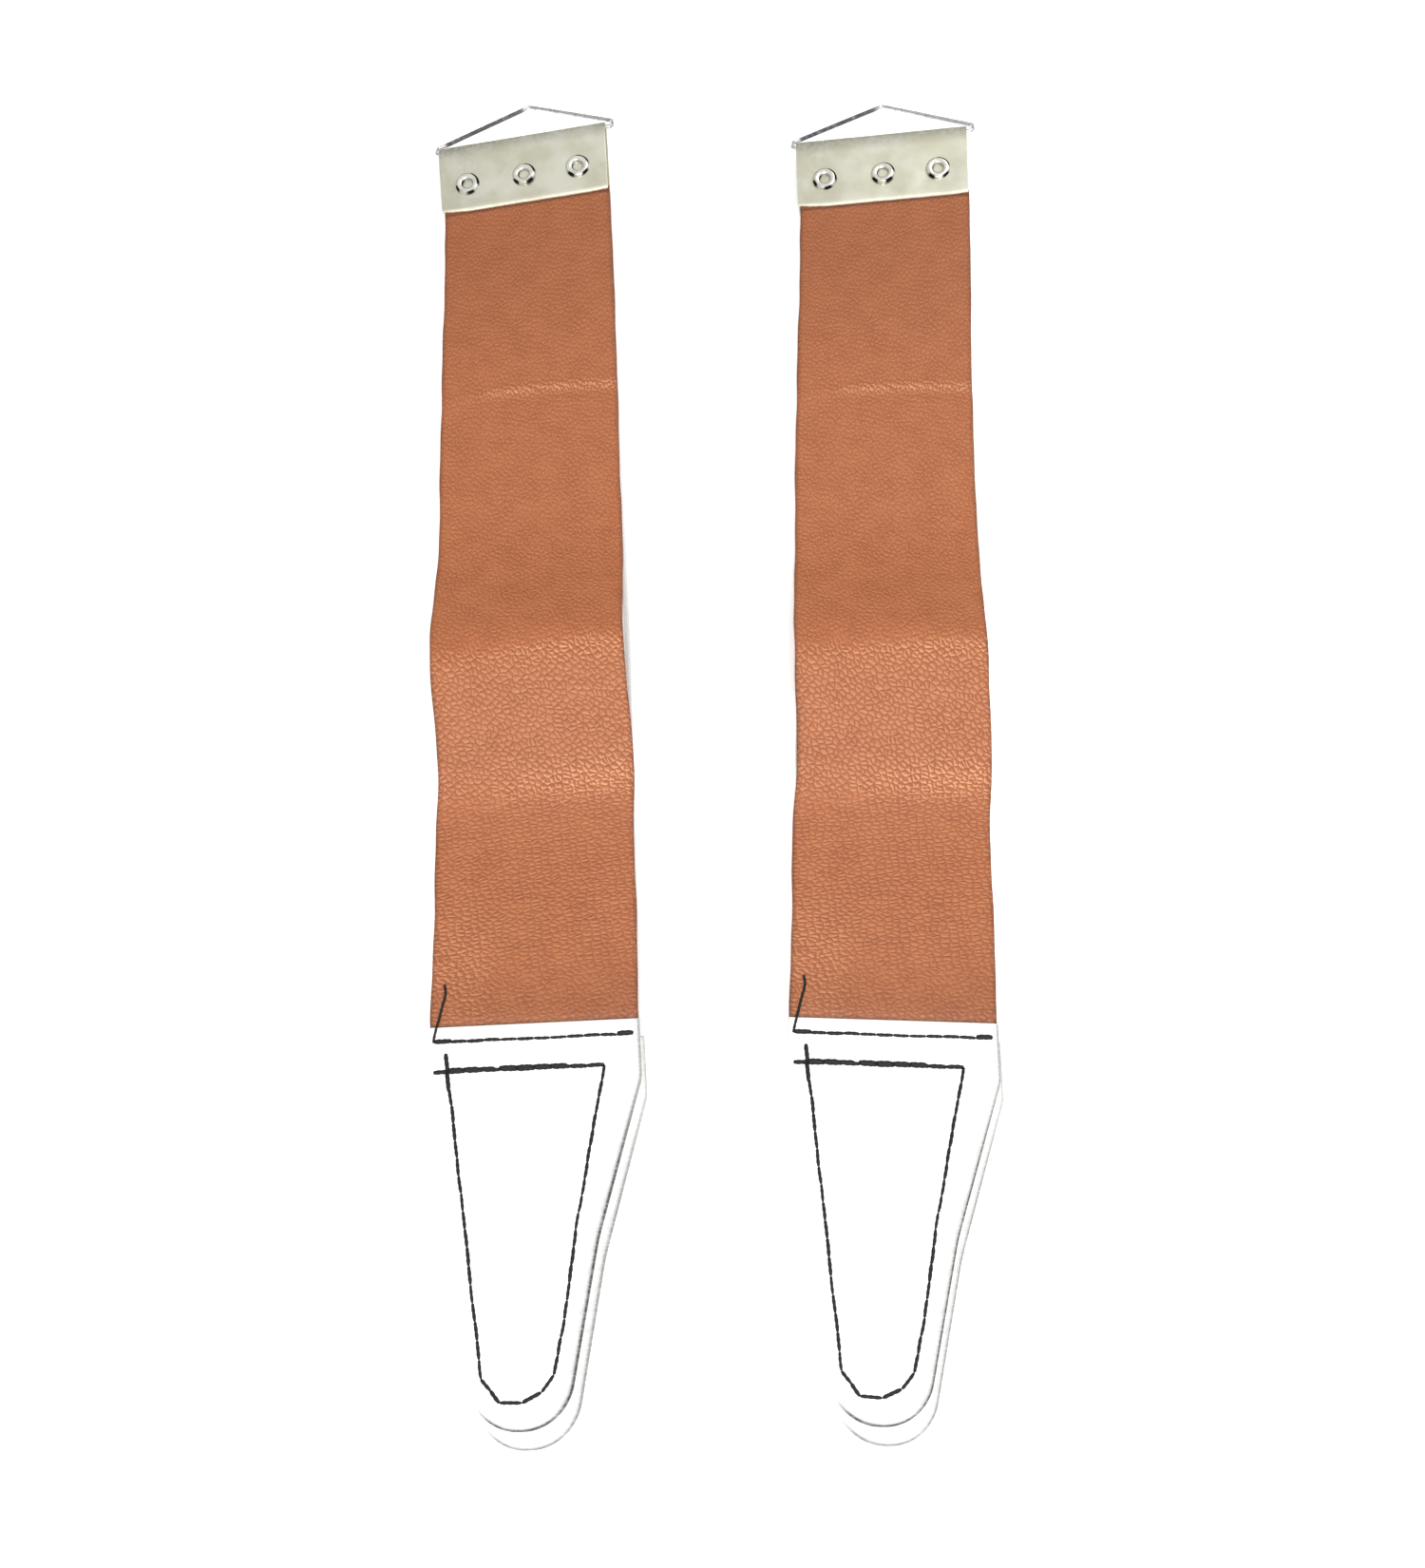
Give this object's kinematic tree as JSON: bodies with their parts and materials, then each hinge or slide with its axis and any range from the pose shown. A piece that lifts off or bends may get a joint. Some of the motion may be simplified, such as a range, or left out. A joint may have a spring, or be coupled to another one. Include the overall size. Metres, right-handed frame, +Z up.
{
  "type": "razor strop pair",
  "caption": "Pair of hanging razor strops, leather over canvas in a riveted metal clamp, with sewn white handles and wire hangers.",
  "frame": {"origin": "centre of the bounding box's base, on the surface that the pair lies on", "axes": "+X from the left strop to the right one, +Y along the strops from the handles to the hangers, +Z up"},
  "size_m": [0.1896, 0.4492, 0.0174],
  "materials": {
    "strap_leather": "pebble grain, brown, satin",
    "strap_canvas": "white woven canvas",
    "handle_cloth": "white coated cloth, matt",
    "black_thread": "black waxed thread",
    "clamp_sheet": "nickel-plated sheet, satin",
    "rivet_metal": "bright nickel",
    "hanger_wire": "bright steel wire"
  },
  "bodies": {
    "left_clamp": {"left_clamp": "clamp_sheet", "left_clamp_rivets": "rivet_metal", "left_leather_clamped_end": "strap_leather", "left_canvas_clamped_end": "strap_canvas"},
    "left_hanger": {"left_hanger": "hanger_wire"},
    "left_leather_upper": {"left_leather_upper": "strap_leather"},
    "left_leather_middle": {"left_leather_middle": "strap_leather"},
    "left_leather_lower": {"left_leather_lower": "strap_leather", "left_seam_thread_tail": "black_thread"},
    "left_front_handle": {"left_leather_handle_end": "strap_leather", "left_front_handle_top_ply": "handle_cloth", "left_front_handle_bottom_ply": "handle_cloth", "left_front_handle_cross_seam": "black_thread", "left_front_handle_outline_seam": "black_thread"},
    "left_canvas_upper": {"left_canvas_upper": "strap_canvas"},
    "left_canvas_middle": {"left_canvas_middle": "strap_canvas"},
    "left_canvas_lower": {"left_canvas_lower": "strap_canvas"},
    "left_back_handle": {"left_canvas_handle_end": "strap_canvas", "left_back_handle_top_ply": "handle_cloth", "left_back_handle_bottom_ply": "handle_cloth", "left_back_handle_cross_seam": "black_thread", "left_back_handle_outline_seam": "black_thread"},
    "right_clamp": {"right_clamp": "clamp_sheet", "right_clamp_rivets": "rivet_metal", "right_leather_clamped_end": "strap_leather", "right_canvas_clamped_end": "strap_canvas"},
    "right_hanger": {"right_hanger": "hanger_wire"},
    "right_leather_upper": {"right_leather_upper": "strap_leather"},
    "right_leather_middle": {"right_leather_middle": "strap_leather"},
    "right_leather_lower": {"right_leather_lower": "strap_leather", "right_seam_thread_tail": "black_thread"},
    "right_front_handle": {"right_leather_handle_end": "strap_leather", "right_front_handle_top_ply": "handle_cloth", "right_front_handle_bottom_ply": "handle_cloth", "right_front_handle_cross_seam": "black_thread", "right_front_handle_outline_seam": "black_thread"},
    "right_canvas_upper": {"right_canvas_upper": "strap_canvas"},
    "right_canvas_middle": {"right_canvas_middle": "strap_canvas"},
    "right_canvas_lower": {"right_canvas_lower": "strap_canvas"},
    "right_back_handle": {"right_canvas_handle_end": "strap_canvas", "right_back_handle_top_ply": "handle_cloth", "right_back_handle_bottom_ply": "handle_cloth", "right_back_handle_cross_seam": "black_thread", "right_back_handle_outline_seam": "black_thread"}
  },
  "joints": [
    {"name": "left_hanger_swing", "type": "hinge", "parent": "left_clamp", "child": "left_hanger", "pos_m": [-0.06297, 0.19948, 0.01049], "axis": [0.9863, 0.055, 0.1553], "range_deg": [-90, 144]},
    {"name": "left_leather_clamp_bend", "type": "hinge", "parent": "left_clamp", "child": "left_leather_upper", "pos_m": [-0.06092, 0.17052, 0.00777], "axis": [-0.9863, -0.055, -0.1553], "range_deg": [0, 70]},
    {"name": "left_leather_upper_fold", "type": "hinge", "parent": "left_leather_upper", "child": "left_leather_middle", "pos_m": [-0.05807, 0.10016, 0.00285], "axis": [-0.9992, -0.0401, 0], "range_deg": [0, 90]},
    {"name": "left_leather_ridge_fold", "type": "hinge", "parent": "left_leather_middle", "child": "left_leather_lower", "pos_m": [-0.054, -0.00126, 0.01685], "axis": [-0.9992, -0.0401, 0], "range_deg": [0, 90]},
    {"name": "left_front_handle_bend", "type": "hinge", "parent": "left_leather_lower", "child": "left_front_handle", "pos_m": [-0.04962, -0.11017, 0.0059], "axis": [-0.9992, -0.0401, 0], "range_deg": [0, 60]},
    {"name": "left_canvas_clamp_bend", "type": "hinge", "parent": "left_clamp", "child": "left_canvas_upper", "pos_m": [-0.06062, 0.1708, 0.00571], "axis": [0.9863, 0.055, 0.1553], "range_deg": [0, 70]},
    {"name": "left_canvas_upper_fold", "type": "hinge", "parent": "left_canvas_upper", "child": "left_canvas_middle", "pos_m": [-0.05776, 0.10017, 0.00075], "axis": [0.999, 0.0443, 0], "range_deg": [0, 80]},
    {"name": "left_canvas_lower_fold", "type": "hinge", "parent": "left_canvas_middle", "child": "left_canvas_lower", "pos_m": [-0.05327, -0.00123, 0.00075], "axis": [0.999, 0.0443, 0], "range_deg": [0, 80]},
    {"name": "left_back_handle_bend", "type": "hinge", "parent": "left_canvas_lower", "child": "left_back_handle", "pos_m": [-0.04824, -0.11461, 0.0018], "axis": [0.999, 0.0443, 0], "range_deg": [0, 50]},
    {"name": "right_hanger_swing", "type": "hinge", "parent": "right_clamp", "child": "right_hanger", "pos_m": [0.06263, 0.19956, 0.01049], "axis": [0.9876, -0.0242, 0.1553], "range_deg": [-90, 144]},
    {"name": "right_leather_clamp_bend", "type": "hinge", "parent": "right_clamp", "child": "right_leather_upper", "pos_m": [0.06235, 0.17052, 0.00777], "axis": [-0.9876, 0.0242, -0.1553], "range_deg": [0, 70]},
    {"name": "right_leather_upper_fold", "type": "hinge", "parent": "right_leather_upper", "child": "right_leather_middle", "pos_m": [0.05955, 0.10016, 0.00285], "axis": [-0.9992, 0.0401, 0], "range_deg": [0, 90]},
    {"name": "right_leather_ridge_fold", "type": "hinge", "parent": "right_leather_middle", "child": "right_leather_lower", "pos_m": [0.05547, -0.00126, 0.01685], "axis": [-0.9992, 0.0401, 0], "range_deg": [0, 90]},
    {"name": "right_front_handle_bend", "type": "hinge", "parent": "right_leather_lower", "child": "right_front_handle", "pos_m": [0.0511, -0.11017, 0.0059], "axis": [-0.9992, 0.0401, 0], "range_deg": [0, 60]},
    {"name": "right_canvas_clamp_bend", "type": "hinge", "parent": "right_clamp", "child": "right_canvas_upper", "pos_m": [0.06268, 0.17077, 0.00571], "axis": [0.9876, -0.0242, 0.1553], "range_deg": [0, 70]},
    {"name": "right_canvas_upper_fold", "type": "hinge", "parent": "right_canvas_upper", "child": "right_canvas_middle", "pos_m": [0.05985, 0.10015, 0.00075], "axis": [0.9994, -0.0359, 0], "range_deg": [0, 80]},
    {"name": "right_canvas_lower_fold", "type": "hinge", "parent": "right_canvas_middle", "child": "right_canvas_lower", "pos_m": [0.05621, -0.00128, 0.00075], "axis": [0.9994, -0.0359, 0], "range_deg": [0, 80]},
    {"name": "right_back_handle_bend", "type": "hinge", "parent": "right_canvas_lower", "child": "right_back_handle", "pos_m": [0.05213, -0.11471, 0.0018], "axis": [0.9994, -0.0359, 0], "range_deg": [0, 50]},
    {"name": "right_strop_lift", "type": "slide", "parent": "left_clamp", "child": "right_clamp", "axis": [0, 0, 1], "range_m": [0, 0.1]}
  ]
}
